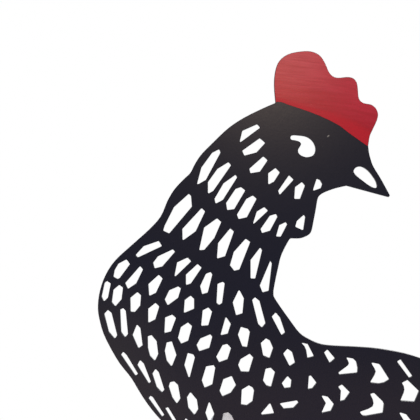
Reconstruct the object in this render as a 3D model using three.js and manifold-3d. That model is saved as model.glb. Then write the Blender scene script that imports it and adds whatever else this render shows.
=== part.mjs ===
// Hen silhouette ornament: a flat steel hen with its feathers cut through, standing on a foot plate.
// Millimetres, +Z up. The hen lies in the XZ plane, its front face looks along -Y, and its breast is at -X.
// The origin is the middle of the surface that the ornament stands on.
import * as THREE from 'three';
import { mergeVertices } from 'three/addons/utils/BufferGeometryUtils.js';
import Module from 'manifold-3d';

// Hen sheet
const HEN_HEIGHT = 230; // belly to the top of the comb
const SHEET_THICKNESS = 2;
const SHEET_FRONT_Y = -21;
const LEG_LENGTH = 58; // sole to the top of the thigh
const THIGH_ROOT = 3.6; // how far the thigh runs up into the belly
const LEG_SPACING = 38;
const LEG_MIDDLE_X = -4;
const THIGH_WIDTH = 18;
const SHANK_WIDTH = 7;
const HOCK_HEIGHT = 32;
const HOCK_SET_BACK = 3;
const INSTEP_HEIGHT = 12;
const TOE_HEIGHT = 4.5;
const FRONT_TOE_LENGTH = 19;
const BACK_TOE_LENGTH = 12;
const TAB_WIDTH = 14;
const TAB_CLEARANCE = 0.3;

// Comb paint
const PAINT_THICKNESS = 0.2;
const PAINT_EDGE_MARGIN = 0.25;

// Tail fan
const TAIL_CENTRE = [62, 106];
const TAIL_RADIUS = 59.1;
const TAIL_NOTCH = 4;
const TAIL_FEATHERS = 6;
const TAIL_TOP_ANGLE = 66;
const TAIL_BOTTOM_ANGLE = -15;
const TAIL_CUT_START = 30;
const TAIL_CUT_MARGIN = 11;
const TAIL_CUT_INNER_WIDTH = 2.6;
const TAIL_CUT_OUTER_WIDTH = 6;

// Foot plate and its pads
const BASE_LENGTH = 170;
const BASE_DEPTH = 110;
const BASE_THICKNESS = 3;
const BASE_CORNER_RADIUS = 12;
const PAD_RADIUS = 7;
const PAD_HEIGHT = 3;
const PAD_EDGE_ROUND = 0.8;
const PAD_INSET = 13;

// Stays behind the sheet
const STAY_SPACING = 112;
const STAY_WIDTH = 19;
const STAY_THICKNESS = 3;
const STAY_SCREW_RISE = 29.6; // from the belly up to the screw
const STAY_END_RISE = 11; // from the screw up to the middle of the rounded end
const STAY_BEND_DROP = 14; // from the screw down to the bend
const STAY_BEND_RADIUS = 6;
const STAY_FOOT_LENGTH = 20;
const STAY_FOOT_INSET = 7;

// Screws, washers and nuts
const SCREW_RADIUS = 2;
const SCREW_CLEARANCE = 0.3;
const SCREW_PAST_NUT = 1.5;
const BUTTON_HEAD_RADIUS = 3.8;
const BUTTON_HEAD_HEIGHT = 2.2;
const FLAT_HEAD_RADIUS = 4;
const FLAT_HEAD_RIM = 0.4;
const SOCKET_RADIUS = 1.45;
const SOCKET_DEPTH = 1.2;
const WASHER_RADIUS = 4.5;
const WASHER_THICKNESS = 0.8;
const NUT_FLATS = 7;
const NUT_HEIGHT = 3.2;
const FEATHER_TO_SCREW = 6; // no feather is cut closer than this to a screw's middle

const CUT_OVERRUN = 1; // how far a cutting shape stands out of the piece it cuts
const SMOOTH_STEPS = 3;
const ROUND_STEPS = 24;
const FILLET_STEPS = 6;

// Outline of the hen as [x, z], drawn at a height of 230, clockwise from the root of the comb at the nape.
const COMB_LINE = [
  [-32.3, 258.6], [-33, 268], [-32.2, 275.4], [-30, 280], [-25.4, 283.1], [-18.3, 284.4], [-13.5, 284],
  [-9.8, 281.9], [-7.4, 278.1], [-5.6, 274], [-3.8, 272], [-1.2, 271.1], [3.5, 271.5], [6.4, 270.9],
  [8.2, 268.9], [8.8, 265.8], [9.1, 261.9], [10, 259.7], [12, 258.4], [15.5, 257.7], [17.8, 255.9],
  [18.9, 253], [18.3, 249.8], [16.3, 245.4], [14.8, 242], [14, 237.2],
];
const FOREHEAD_LINE = [
  [14, 237.2], [14.4, 233.8], [15.2, 230.6], [16.6, 226.8], [20.2, 220.9], [24.9, 212.3],
];
const BEAK_TIP = [24.2, 211.5];
const MOUTH_CORNER = [3.2, 217.2];
const THROAT_LINE = [
  [3.2, 217.2], [-2.7, 215.8], [-7.6, 214], [-10.2, 212.4], [-11.3, 210.4], [-12.2, 205.2], [-13.4, 199],
  [-14.2, 195.1], [-15.4, 193], [-17.9, 191.6], [-20.4, 190.9], [-24.3, 190.9],
];
const NECK_AND_BACK_LINE = [
  [-24.3, 190.9], [-25.6, 190], [-29.3, 182.8], [-30.9, 176.6], [-32.6, 168.6], [-33.3, 163.6],
  [-32.2, 160.3], [-25, 150], [-20, 143.5], [-15, 140.3], [-10, 138.2], [-4, 137.3], [10, 136.6],
  [20, 135.7], [32.5, 133.4], [44, 129.9],
];
const BELLY_LINE = [
  [92, 83.6], [80, 76], [66, 68.2], [50, 61.3], [32, 56.6], [10, 54.4], [-12, 54.6],
  [-34, 58.6], [-52, 66.4], [-66, 76.4], [-78, 88],
];
const BREAST_LINE = [
  [-89.4, 100], [-95.3, 107], [-100.1, 114.1], [-104.4, 121.3], [-110.8, 129.5], [-117.5, 141.7],
  [-120.2, 150.4], [-121, 156.8], [-120.1, 164.3], [-117.4, 172.2], [-112.5, 179.8], [-104.1, 187.6],
  [-95.2, 195.6], [-89.6, 202], [-86.2, 209.8], [-82.6, 215.7], [-77.9, 220.7], [-74.8, 223.7],
  [-72.7, 227.8], [-69.4, 232.8], [-63.8, 238.5], [-56, 245.9], [-48.2, 251.1], [-39, 255.7],
];

// Edges of the tail in front of its fan and under it, from the tail's centre.
const TAIL_FRONT_LINE = [[-8, 21.4], [1, 23.6], [9, 31], [16, 41.6]];
const TAIL_UNDERSIDE_LINE = [[42, -16]];

// Lower edge of the red paint, from the forehead to the nape.
const PAINT_LINE = [
  [13.2, 237.3], [8.2, 240.8], [4, 243.8], [0, 247], [-5, 249.7], [-10, 252], [-15, 254], [-20.9, 256],
  [-26.3, 257.8], [-29.5, 259], [-31.7, 259.1],
];

// Smooth cuts in the head.
const EYE = [
  [-24.2, 242.3], [-20.4, 242.3], [-16.7, 241.6], [-14.1, 239.8], [-12.7, 237.5], [-12.3, 234.9],
  [-13.3, 232.6], [-16.3, 231.5], [-19, 232.1], [-20.7, 233.5], [-21, 235.1], [-20.1, 236.7],
  [-19.5, 238.1], [-20.3, 239.2], [-22.5, 239.9], [-24.4, 240.3], [-24.8, 241.3],
];
const NOSTRIL = [
  [10.3, 226.8], [13.7, 225], [16.4, 221.8], [18.1, 218.9], [18.4, 216.5], [17.5, 216.1], [14.8, 217.2],
  [11.2, 219.8], [7.6, 222.8], [6.7, 224.5], [7.8, 226.2],
];

// Feathers cut through the sheet, row by row from the head down to the breast.
const CHEEK_ROW = [
  [[-41.4, 248], [-39.9, 246.3], [-50.3, 238.6], [-48.8, 244.7]],
  [[-40.1, 241], [-37.4, 238.7], [-41.8, 233.9], [-47.8, 232.3], [-48.9, 234.7]],
  [[-38.3, 231.9], [-36.2, 230], [-40.1, 224.3], [-44.8, 223.5], [-45.3, 225.7]],
  [[-32.2, 226.1], [-30.1, 223.9], [-33, 219.4], [-35.9, 217.8], [-35.9, 223.4]],
  [[-25.5, 222.5], [-23.2, 220.3], [-30.2, 212.6], [-30.9, 214.7]],
  [[-19, 219.1], [-17.5, 217.3], [-20, 210.7], [-22.9, 210.7], [-22.5, 216.5]],
  [[-11.7, 220.8], [-10, 220], [-8.9, 218.1], [-9.6, 216.1], [-13.7, 214.6]],
  [[-21.6, 199.6], [-18.1, 202.7], [-17.4, 201.6], [-18.4, 194.9], [-22.4, 196.8]],
];
const NECK_ROW = [
  [[-60.4, 235.5], [-59.8, 233.8], [-67.1, 220.2], [-71.6, 217.6], [-69.3, 226.3], [-63.9, 233.7]],
  [[-55.8, 229], [-54.5, 227.5], [-63.4, 214.7], [-66, 213.2], [-66, 219], [-61.3, 225.6]],
  [[-52.2, 222.7], [-51.5, 221.4], [-58.6, 210.2], [-62.2, 208.3], [-62.7, 210.7], [-58.2, 218.4]],
  [[-52.2, 215.6], [-49.5, 216.5], [-47.4, 214.9], [-52.9, 205.6], [-56.4, 205.1], [-56.9, 208.6]],
  [[-46.8, 210.6], [-43.6, 212.3], [-41.7, 210.7], [-46.6, 201.5], [-50.7, 200.6], [-51.5, 202.8]],
  [[-37.9, 206.5], [-36, 204.8], [-43.8, 197.5], [-41.6, 204.3]],
  [[-35.1, 202.2], [-32, 203.1], [-31.3, 201.7], [-35, 194.8], [-39, 193.6], [-39.7, 195.6]],
  [[-30.4, 197.5], [-27.2, 199], [-26.4, 198], [-29.6, 191.8], [-32, 191.9]],
];
const HACKLE_ROW = [
  [[-75.6, 213.2], [-74.5, 212], [-74.1, 206.8], [-85.4, 193.4], [-88.4, 194.8], [-87.7, 197.2],
    [-83, 206.5], [-81.7, 207.7]],
  [[-69.2, 206], [-67.5, 204.4], [-72.2, 194.5], [-78.7, 189.8], [-78.8, 195.6]],
  [[-61.5, 200.9], [-59.4, 199.1], [-62.9, 191.1], [-67.9, 185.2], [-70.4, 185], [-67.9, 196.3]],
  [[-54.9, 195.9], [-53.1, 194.3], [-57.5, 182], [-61.5, 180.8], [-60.9, 188.6]],
  [[-47.2, 190.7], [-44.9, 189.1], [-50.3, 175.4], [-52.8, 174.7], [-55, 177.5], [-53.1, 184.1]],
  [[-39.9, 186.4], [-39, 184.9], [-42.4, 170.8], [-44.7, 170.9], [-44.7, 180.1]],
  [[-34.9, 179.7], [-34.1, 178.3], [-35.7, 164.7], [-38.7, 163.9], [-40.1, 167.4]],
];
const CAPE_ROW = [
  [[-90.6, 189.6], [-89, 187.1], [-101.1, 181.4], [-102.2, 182.6], [-98.1, 187]],
  [[-83.6, 185.4], [-82.5, 184.3], [-88.9, 176.9], [-92.7, 175.9], [-93.4, 178.7], [-91, 181.9]],
  [[-76.2, 181.3], [-74.4, 179.5], [-82.9, 171.3], [-81.4, 178.9]],
  [[-71.2, 178.1], [-69.2, 176.3], [-74.6, 168.4], [-77, 167.5], [-77, 172.8]],
  [[-67, 173.2], [-64.7, 174.1], [-63.9, 172.8], [-66.2, 163.8], [-68.9, 163], [-69.9, 167]],
  [[-61.2, 168.2], [-58.6, 169.2], [-57.7, 168.4], [-59, 158.6], [-60.4, 157.6], [-61.7, 158.7]],
  [[-50.5, 165.4], [-48.1, 160.9], [-48.8, 153.4], [-51.9, 152.4], [-53.6, 159]],
  [[-43.9, 160.2], [-42.5, 161.5], [-40.3, 159.6], [-37.3, 148.4], [-39, 146.3], [-40.9, 148.2]],
  [[-34.1, 151.9], [-32.2, 153.9], [-30, 151.2], [-27.5, 143.8], [-29.2, 142.5]],
];
const SHOULDER_ROW = [
  [[-106.7, 180.4], [-105, 178.1], [-110.2, 171.1], [-111.3, 170.6], [-113.3, 171.7], [-112.7, 175],
    [-110.8, 178.2]],
  [[-99.9, 177.1], [-98.5, 175.4], [-101.9, 168.5], [-106.1, 165.6], [-107.4, 168.5]],
  [[-90.6, 172.7], [-88.7, 170.9], [-92.1, 163.7], [-95.4, 162.1], [-95.8, 168]],
  [[-80.8, 166.9], [-79.6, 165.9], [-81, 161.2], [-86.2, 157.4], [-87.6, 160.3], [-85.3, 165]],
  [[-74.7, 162.3], [-73, 160.7], [-73, 155.7], [-78.1, 153.5], [-77.6, 160.1]],
  [[-68.6, 155], [-65.8, 156.4], [-64, 154.3], [-65.9, 147.4], [-69.4, 147.1]],
  [[-57.1, 151.9], [-54.6, 148.1], [-56.2, 143.2], [-59.8, 142.4]],
  [[-49.6, 146.7], [-46.1, 145.7], [-45.1, 144.1], [-46.5, 136.5], [-48.8, 136.9], [-51, 142.8]],
  [[-37, 141], [-35.2, 139.9], [-33.5, 136], [-35.2, 131], [-38.4, 132.4], [-39.6, 138.7]],
  [[-26.3, 135.8], [-24, 134.1], [-22.5, 128.7], [-25.1, 127], [-28.4, 133.4]],
];
const WING_ROW = [
  [[-116.4, 169.6], [-114.6, 168.4], [-116, 161.4], [-118.1, 159.3], [-119.2, 161.8], [-117.7, 168.6]],
  [[-110.3, 167.7], [-108.5, 166.3], [-109.2, 160.6], [-112.4, 156.9], [-114.1, 159], [-113.3, 165.1]],
  [[-101.2, 164.1], [-99.5, 162.5], [-99.9, 157.4], [-102.6, 154.1], [-104.7, 154.2], [-104.8, 161.2]],
  [[-92.2, 158.7], [-90.4, 156.9], [-92.4, 150.4], [-95.9, 148.6], [-95.9, 155.7]],
  [[-83.9, 152.8], [-82, 151.2], [-84.6, 144.3], [-87.8, 143.5], [-87.4, 151.4]],
  [[-76, 148.9], [-74, 147.1], [-76, 139.7], [-79.4, 138.2], [-81, 141], [-79.5, 146.6]],
  [[-64.8, 143], [-63.9, 141.7], [-65.4, 136.1], [-70.4, 134.4], [-71.7, 137.6], [-69.8, 140.9]],
  [[-58.7, 137.6], [-56.4, 138.2], [-54.5, 136.1], [-56.3, 130.4], [-60.4, 128.9], [-61.9, 131.7]],
  [[-45.2, 133.3], [-43.4, 131.3], [-45.6, 124.1], [-49.5, 124.3], [-50.9, 127.7], [-49.7, 130.6]],
  [[-37.2, 125.8], [-34.7, 126.3], [-32.5, 124.1], [-34.5, 116.6], [-36.8, 117.4], [-38.5, 119.9]],
  [[-26.3, 122.2], [-24.3, 120], [-24.7, 116.3], [-27.7, 116], [-29.1, 118.6]],
  [[-15.6, 122.1], [-14.7, 122.5], [-11.7, 118.6], [-13.8, 115.9], [-16.1, 115.5]],
];
const BREAST_ROW = [
  [[-116, 155.2], [-114.2, 153.7], [-111.4, 142.6], [-112.6, 140.7], [-115.6, 144.2], [-117.9, 153.1]],
  [[-108.3, 156.1], [-107.1, 154.7], [-106, 143.2], [-107.5, 141.4], [-109.4, 144.1], [-109.9, 155.3]],
  [[-101.5, 148], [-99.8, 146.1], [-98.7, 137.5], [-100.8, 135.9], [-103.7, 142.5]],
  [[-96.1, 142], [-94.2, 142.6], [-91.7, 139.6], [-90.9, 133.2], [-92.6, 129.6], [-95, 132.2], [-96, 136.1]],
  [[-86.6, 138.9], [-84.1, 139.5], [-81.8, 132.7], [-84.2, 126.7], [-86.6, 129.7], [-87.6, 134.5]],
  [[-76.1, 133.7], [-73.3, 132.9], [-72.6, 131.4], [-75.2, 121.4], [-75.7, 121.4], [-77.8, 127.5]],
  [[-66.9, 127], [-63.2, 127.6], [-62.4, 126.3], [-63.9, 117.8], [-67.7, 116.1], [-69.1, 119.9]],
  [[-54.2, 122.2], [-52, 117.5], [-54.7, 113.6], [-58.8, 111.8], [-60.2, 114.7], [-58.3, 120.6]],
  [[-45.6, 117.5], [-43.8, 116.5], [-43, 114.8], [-43.8, 109.4], [-46.6, 107.4], [-49.5, 107.8],
    [-49.1, 115.4]],
];
const UNDERBREAST_ROW = [
  [[-108.3, 134.3], [-106.6, 132.6], [-101, 123.3], [-102.2, 122.1], [-109.5, 132.7]],
  [[-99.9, 130.2], [-98.1, 128.4], [-94.5, 119.2], [-95.6, 118.3], [-101.3, 127.5]],
  [[-92.2, 125.8], [-90.6, 124], [-87.8, 115.3], [-89, 113.8], [-91.6, 116.5], [-93.8, 123.2]],
  [[-84.9, 119.1], [-82.9, 119.5], [-81, 117.7], [-79.8, 110.9], [-81.6, 108.1], [-83.8, 111.3],
    [-85.6, 116.8]],
  [[-74.8, 114.2], [-71.6, 110.4], [-70.9, 105.5], [-72.8, 102.5], [-75.8, 106.2], [-76.5, 111.5]],
  [[-65.4, 109.7], [-62.9, 103.2], [-64.9, 97], [-67.3, 103.7]],
  [[-58.3, 103.6], [-55.9, 104.1], [-54.1, 102.4], [-52.6, 99], [-54.6, 93.6], [-57.8, 93], [-59.6, 97.4]],
  [[-47.2, 99.6], [-44.4, 97.4], [-44.6, 90.6], [-47.4, 88.4], [-49.6, 91.8]],
  [[-39.4, 103.6], [-35, 108.8], [-32.9, 103.3], [-39, 102.6]],
  [[-36.6, 96.4], [-33.6, 94.6], [-34.2, 87.8], [-37.2, 86.6], [-39.2, 90.2]],
];
const LOWER_BREAST_ROW = [
  [[-94.7, 112.4], [-93.5, 111.5], [-87.8, 102.7], [-88.9, 101.6], [-95.7, 110.9]],
  [[-87.5, 106.1], [-85.9, 106.6], [-79.6, 96.2], [-80.8, 94.8]],
  [[-77.2, 101.3], [-75.8, 99.8], [-72, 90.2], [-73.4, 88.6], [-78.2, 98.4]],
  [[-68.4, 93.4], [-66.4, 91.4], [-64.4, 83.4], [-66.2, 81.6], [-70.2, 89.4]],
];
const SADDLE_ROW = [
  [[-19.5, 138.9], [-16.2, 138.1], [-13, 131.9], [-16.3, 131.1], [-16.9, 135.1], [-17.7, 137]],
  [[-8, 134], [-6.4, 135.4], [-2.5, 130.8], [-5.1, 128.6]],
  [[3, 131.5], [6.4, 130.9], [8.1, 129.2], [8.8, 126.1], [8.7, 123.7], [-0.2, 122.8], [-0.9, 123.9],
    [3.9, 127.5], [4.4, 128.6], [4, 129.8]],
  [[15.4, 129], [19.3, 128.2], [20.1, 127.5], [24.7, 120.3], [22.2, 118.8], [19.6, 118.3], [14.9, 118.9],
    [17.2, 122.8], [17.8, 124.5], [17.2, 126]],
  [[28.4, 129.5], [30.2, 130.5], [36.4, 121.8], [34.6, 121.2]],
];
const QUILL_ROW = [
  [[-30.3, 108.5], [-21.7, 110], [-20.7, 108.8], [-23.3, 106.1], [-28, 105.7]],
  [[-9.5, 112.6], [-6.2, 111.8], [-3, 107.9], [-4.6, 104.5], [-9.5, 103.5], [-7.1, 108.7]],
  [[-1, 116.9], [0.9, 117.9], [5, 113.8], [2.3, 110], [0, 109.4], [0.4, 115]],
  [[15, 113.3], [16.9, 113.7], [21.4, 109.3], [22, 108], [21.5, 103.6], [13, 102.1], [11.2, 102.4],
    [9.8, 104.3], [13.9, 105.7], [16.2, 107], [16.7, 108.6], [16.3, 110.6]],
  [[30.8, 118.8], [33.6, 120.2], [39.6, 114.4], [37.4, 109.2], [30, 109.8], [31.7, 113.8], [32.1, 115.4],
    [31.8, 117.2]],
  [[-28.2, 100.4], [-25.4, 97.6], [-25.8, 90.4], [-28.8, 89.4], [-30.6, 93.4]],
];

// Rows below and behind these, each on a line from the middle of its first cut to that of its last.
const SLOT_LINES = [[[-47, 82], [-17, 80]], [[-47, 71.4], [-16, 69]]];
const SLOT_PITCH = 10.2;
const SLOT_LENGTH = 8.4;
const SLOT_WIDTH = 4.2;
const SLOT_LEAN_ANGLE = -68; // from the row's line
const SLOT_SPREAD_ANGLE = -18; // from the first cut to the last
const CHEVRON_LINES = [
  [[47.5, 117], [77, 117]], [[33, 98.6], [77, 101.4]], [[-13.5, 92.6], [32, 84.4]],
  [[-4, 77], [52, 70.6]], [[69, 82], [81, 89]],
];
const CHEVRON_PITCH = 14.7;
const CHEVRON_LENGTH = 9;
const CHEVRON_WIDTH = 10;
const CHEVRON_SPREAD_ANGLE = 24;

// One slot and one chevron, drawn one unit long and one wide.
const SLOT_SHAPE = [[-0.5, -0.18], [-0.3, 0.46], [0.34, 0.5], [0.5, 0.12], [0.32, -0.46], [-0.36, -0.5]];
const CHEVRON_SHAPE = [
  [-0.5, 0.5], [-0.08, 0.44], [0.5, -0.06], [0.18, -0.5], [-0.44, -0.48], [-0.02, -0.02],
];

const wasm = await Module();
wasm.setup();

const DRAWN_BELLY_Z = Math.min(...BELLY_LINE.map(([, z]) => z));
const DRAWN_COMB_Z = Math.max(...COMB_LINE.map(([, z]) => z));
const DRAWING_SCALE = HEN_HEIGHT / (DRAWN_COMB_Z - DRAWN_BELLY_Z);
const SHEET_BACK_Y = SHEET_FRONT_Y + SHEET_THICKNESS;
const SHEET_MIDDLE_Y = SHEET_FRONT_Y + SHEET_THICKNESS / 2;
const BASE_TOP_Z = PAD_HEIGHT + BASE_THICKNESS;
const BELLY_Z = BASE_TOP_Z + LEG_LENGTH - THIGH_ROOT;
const STAY_SCREW_Z = BELLY_Z + STAY_SCREW_RISE;
const STAY_BACK_Y = SHEET_BACK_Y + STAY_THICKNESS;
const STAY_SIDES = { left: -STAY_SPACING / 2, right: STAY_SPACING / 2 };
const STAY_FOOT_END_Y = BASE_DEPTH / 2 - STAY_FOOT_INSET;
const STAY_FOOT_SCREW_Y = STAY_FOOT_END_Y - STAY_FOOT_LENGTH / 2;
const STAY_FOOT_TOP_Z = BASE_TOP_Z + STAY_THICKNESS;
const STAY_NUT_Y = STAY_BACK_Y + WASHER_THICKNESS;
const FOOT_NUT_Z = STAY_FOOT_TOP_Z + WASHER_THICKNESS;
const PAD_X = BASE_LENGTH / 2 - PAD_INSET;
const PAD_Y = BASE_DEPTH / 2 - PAD_INSET;
const SCREW_HOLE_RADIUS = SCREW_RADIUS + SCREW_CLEARANCE;

const blackCoat = new THREE.MeshStandardMaterial({ color: '#2b262c', roughness: 0.42, metalness: 0.2 });
const redEnamel = new THREE.MeshStandardMaterial({ color: '#a8343a', roughness: 0.5, metalness: 0 });
const zincPlate = new THREE.MeshStandardMaterial({ color: '#c4c1c4', roughness: 0.4, metalness: 0.8 });
const blackSteel = new THREE.MeshStandardMaterial({ color: '#26262a', roughness: 0.4, metalness: 0.7 });
const rubber = new THREE.MeshStandardMaterial({ color: '#1c1c1e', roughness: 0.85, metalness: 0 });

function toSolid(geometry) {
  const bare = geometry.clone();
  bare.deleteAttribute('normal');
  bare.deleteAttribute('uv');
  const merged = mergeVertices(bare, 1e-4);
  const index = merged.index.array;
  const triangles = [];
  for (let i = 0; i < index.length; i += 3) {
    const [a, b, c] = [index[i], index[i + 1], index[i + 2]];
    if (a !== b && b !== c && c !== a) triangles.push(a, b, c);
  }
  const vertProperties = new Float32Array(merged.attributes.position.array);
  const triVerts = new Uint32Array(triangles);
  return new wasm.Manifold(new wasm.Mesh({ numProp: 3, vertProperties, triVerts }));
}

function toGeometry(solid) {
  const mesh = solid.getMesh();
  const geometry = new THREE.BufferGeometry();
  geometry.setAttribute('position', new THREE.BufferAttribute(new Float32Array(mesh.vertProperties), 3));
  geometry.setIndex(new THREE.BufferAttribute(new Uint32Array(mesh.triVerts), 1));
  geometry.computeVertexNormals();
  return geometry;
}

function vectors(points) {
  return points.map(([x, z]) => new THREE.Vector2(x, z));
}

// Points of the hen's drawing in the part's own X and Z.
function drawn(points) {
  return points.map(([x, z]) => new THREE.Vector2(
    x * DRAWING_SCALE, BELLY_Z + (z - DRAWN_BELLY_Z) * DRAWING_SCALE,
  ));
}

// An outline with this many steps to a curve, given a thickness.
function plate(shape, thickness, curveSegments) {
  return new THREE.ExtrudeGeometry(shape, { depth: thickness, bevelEnabled: false, curveSegments });
}

// A plate whose outline is drawn in X and Z, standing with its front at frontY.
function upright(shape, frontY, thickness, curveSegments) {
  return plate(shape, thickness, curveSegments).rotateX(Math.PI / 2).translate(0, frontY + thickness, 0);
}

// The cutting shape of a screw hole through a wall of this thickness, along Y about the origin.
function screwHole(thickness) {
  const length = thickness + CUT_OVERRUN * 2;
  return new THREE.CylinderGeometry(SCREW_HOLE_RADIUS, SCREW_HOLE_RADIUS, length, ROUND_STEPS);
}

function holeAlongY(fromY, toY, x, z) {
  return screwHole(toY - fromY).translate(x, (fromY + toY) / 2, z);
}

function tailPoint(angle, radius) {
  const turn = THREE.MathUtils.degToRad(angle);
  return [TAIL_CENTRE[0] + radius * Math.cos(turn), TAIL_CENTRE[1] + radius * Math.sin(turn)];
}

function tailStep() {
  return (TAIL_TOP_ANGLE - TAIL_BOTTOM_ANGLE) / TAIL_FEATHERS;
}

// The tail's edge: a round end for each feather, from the top one down.
function drawTail(shape) {
  const half = tailStep() / 2;
  for (let i = 0; i < TAIL_FEATHERS; i++) {
    const middle = TAIL_TOP_ANGLE - tailStep() * (i + 0.5);
    const points = [
      tailPoint(middle + half * 0.7, TAIL_RADIUS - TAIL_NOTCH * 0.3),
      tailPoint(middle, TAIL_RADIUS),
      tailPoint(middle - half * 0.7, TAIL_RADIUS - TAIL_NOTCH * 0.3),
      tailPoint(middle - half, TAIL_RADIUS - TAIL_NOTCH),
    ];
    shape.splineThru(drawn(points));
  }
}

function tailCuts() {
  const cuts = [];
  const outer = TAIL_RADIUS - TAIL_CUT_MARGIN;
  for (let i = 0; i < TAIL_FEATHERS; i++) {
    const angle = TAIL_TOP_ANGLE - tailStep() * (i + 0.5);
    const inner = THREE.MathUtils.radToDeg(TAIL_CUT_INNER_WIDTH / 2 / TAIL_CUT_START);
    const wide = THREE.MathUtils.radToDeg(TAIL_CUT_OUTER_WIDTH / 2 / outer);
    cuts.push([
      tailPoint(angle + inner, TAIL_CUT_START), tailPoint(angle + wide, outer - TAIL_CUT_OUTER_WIDTH / 2),
      tailPoint(angle, outer), tailPoint(angle - wide, outer - TAIL_CUT_OUTER_WIDTH / 2),
      tailPoint(angle - inner, TAIL_CUT_START),
    ]);
  }
  return cuts;
}

// Copies of one shape along a line, each turned a little further than the one before it.
function rowCuts([from, to], shape, { pitch, length, width, lean, spread }) {
  const [alongX, alongZ] = [to[0] - from[0], to[1] - from[1]];
  const steps = Math.round(Math.hypot(alongX, alongZ) / pitch);
  const cuts = [];
  for (let i = 0; i <= steps; i++) {
    const t = i / steps;
    const turn = Math.atan2(alongZ, alongX) + THREE.MathUtils.degToRad(lean + spread * (t - 0.5));
    const [x, z] = [from[0] + alongX * t, from[1] + alongZ * t];
    cuts.push(shape.map(([u, v]) => [
      x + u * length * Math.cos(turn) - v * width * Math.sin(turn),
      z + u * length * Math.sin(turn) + v * width * Math.cos(turn),
    ]));
  }
  return cuts;
}

function slotCuts() {
  const sizes = {
    pitch: SLOT_PITCH, length: SLOT_LENGTH, width: SLOT_WIDTH,
    lean: SLOT_LEAN_ANGLE, spread: SLOT_SPREAD_ANGLE,
  };
  return SLOT_LINES.flatMap((line) => rowCuts(line, SLOT_SHAPE, sizes));
}

function chevronCuts() {
  const sizes = {
    pitch: CHEVRON_PITCH, length: CHEVRON_LENGTH, width: CHEVRON_WIDTH,
    lean: 0, spread: CHEVRON_SPREAD_ANGLE,
  };
  return CHEVRON_LINES.flatMap((line) => rowCuts(line, CHEVRON_SHAPE, sizes));
}

function clearOfScrews(cut) {
  return Object.values(STAY_SIDES).every((screwX) => {
    const screw = new THREE.Vector2(screwX, STAY_SCREW_Z);
    return cut.every((point) => point.distanceTo(screw) > FEATHER_TO_SCREW);
  });
}

function featherCuts() {
  const cuts = [
    CHEEK_ROW, NECK_ROW, HACKLE_ROW, CAPE_ROW, SHOULDER_ROW, WING_ROW, BREAST_ROW, UNDERBREAST_ROW,
    LOWER_BREAST_ROW, SADDLE_ROW, QUILL_ROW, slotCuts(), chevronCuts(), tailCuts(),
  ].flat();
  return cuts.map(drawn).filter(clearOfScrews);
}

// A round cut through the given points.
function smoothCut(points) {
  const corners = drawn(points).map((point) => new THREE.Vector3(point.x, point.y, 0));
  const curve = new THREE.CatmullRomCurve3(corners, true);
  const steps = curve.getPoints(points.length * SMOOTH_STEPS).slice(0, -1);
  return steps.map((point) => new THREE.Vector2(point.x, point.y));
}

function fromTailCentre(points) {
  return points.map(([x, z]) => [TAIL_CENTRE[0] + x, TAIL_CENTRE[1] + z]);
}

function bodyShape() {
  const shape = new THREE.Shape();
  const tailStart = tailPoint(TAIL_TOP_ANGLE, TAIL_RADIUS - TAIL_NOTCH);
  const back = [...NECK_AND_BACK_LINE, ...fromTailCentre(TAIL_FRONT_LINE), tailStart];
  const front = [...fromTailCentre(TAIL_UNDERSIDE_LINE), ...BELLY_LINE, ...BREAST_LINE, COMB_LINE[0]];
  const [start] = drawn(COMB_LINE);
  shape.moveTo(start.x, start.y);
  shape.splineThru(drawn(COMB_LINE.slice(1)));
  shape.splineThru(drawn(FOREHEAD_LINE.slice(1)));
  for (const corner of drawn([BEAK_TIP, MOUTH_CORNER])) shape.lineTo(corner.x, corner.y);
  shape.splineThru(drawn(THROAT_LINE.slice(1)));
  shape.splineThru(drawn(back.slice(1)));
  drawTail(shape);
  shape.splineThru(drawn(front));
  return shape;
}

// The cutting shapes of the feathers, the eye and the cut in the beak.
function sheetCuts() {
  const cuts = [...featherCuts(), smoothCut(EYE), smoothCut(NOSTRIL)];
  const frontY = SHEET_FRONT_Y - CUT_OVERRUN;
  const length = SHEET_THICKNESS + CUT_OVERRUN * 2;
  return cuts.map((cut) => toSolid(upright(new THREE.Shape(cut), frontY, length, SMOOTH_STEPS)));
}

// One leg from its tab up to the thigh line, z from the sole.
function legShape(x) {
  const shape = new THREE.Shape();
  const half = SHANK_WIDTH / 2;
  shape.moveTo(x - FRONT_TOE_LENGTH, 0);
  shape.lineTo(x - TAB_WIDTH / 2, 0);
  shape.lineTo(x - TAB_WIDTH / 2, -BASE_THICKNESS);
  shape.lineTo(x + TAB_WIDTH / 2, -BASE_THICKNESS);
  shape.lineTo(x + TAB_WIDTH / 2, 0);
  shape.lineTo(x + BACK_TOE_LENGTH, 0);
  shape.quadraticCurveTo(x + BACK_TOE_LENGTH, TOE_HEIGHT, x + half, INSTEP_HEIGHT);
  shape.lineTo(x + half + HOCK_SET_BACK, HOCK_HEIGHT);
  shape.quadraticCurveTo(x + half + HOCK_SET_BACK, LEG_LENGTH, x + THIGH_WIDTH / 2, LEG_LENGTH);
  shape.lineTo(x - THIGH_WIDTH / 2, LEG_LENGTH);
  shape.quadraticCurveTo(x - half + HOCK_SET_BACK, LEG_LENGTH, x - half + HOCK_SET_BACK, HOCK_HEIGHT);
  shape.lineTo(x - half, INSTEP_HEIGHT);
  shape.quadraticCurveTo(x - half, TOE_HEIGHT, x - FRONT_TOE_LENGTH, 0);
  return shape;
}

function legMiddles() {
  return [LEG_MIDDLE_X - LEG_SPACING / 2, LEG_MIDDLE_X + LEG_SPACING / 2];
}

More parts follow.
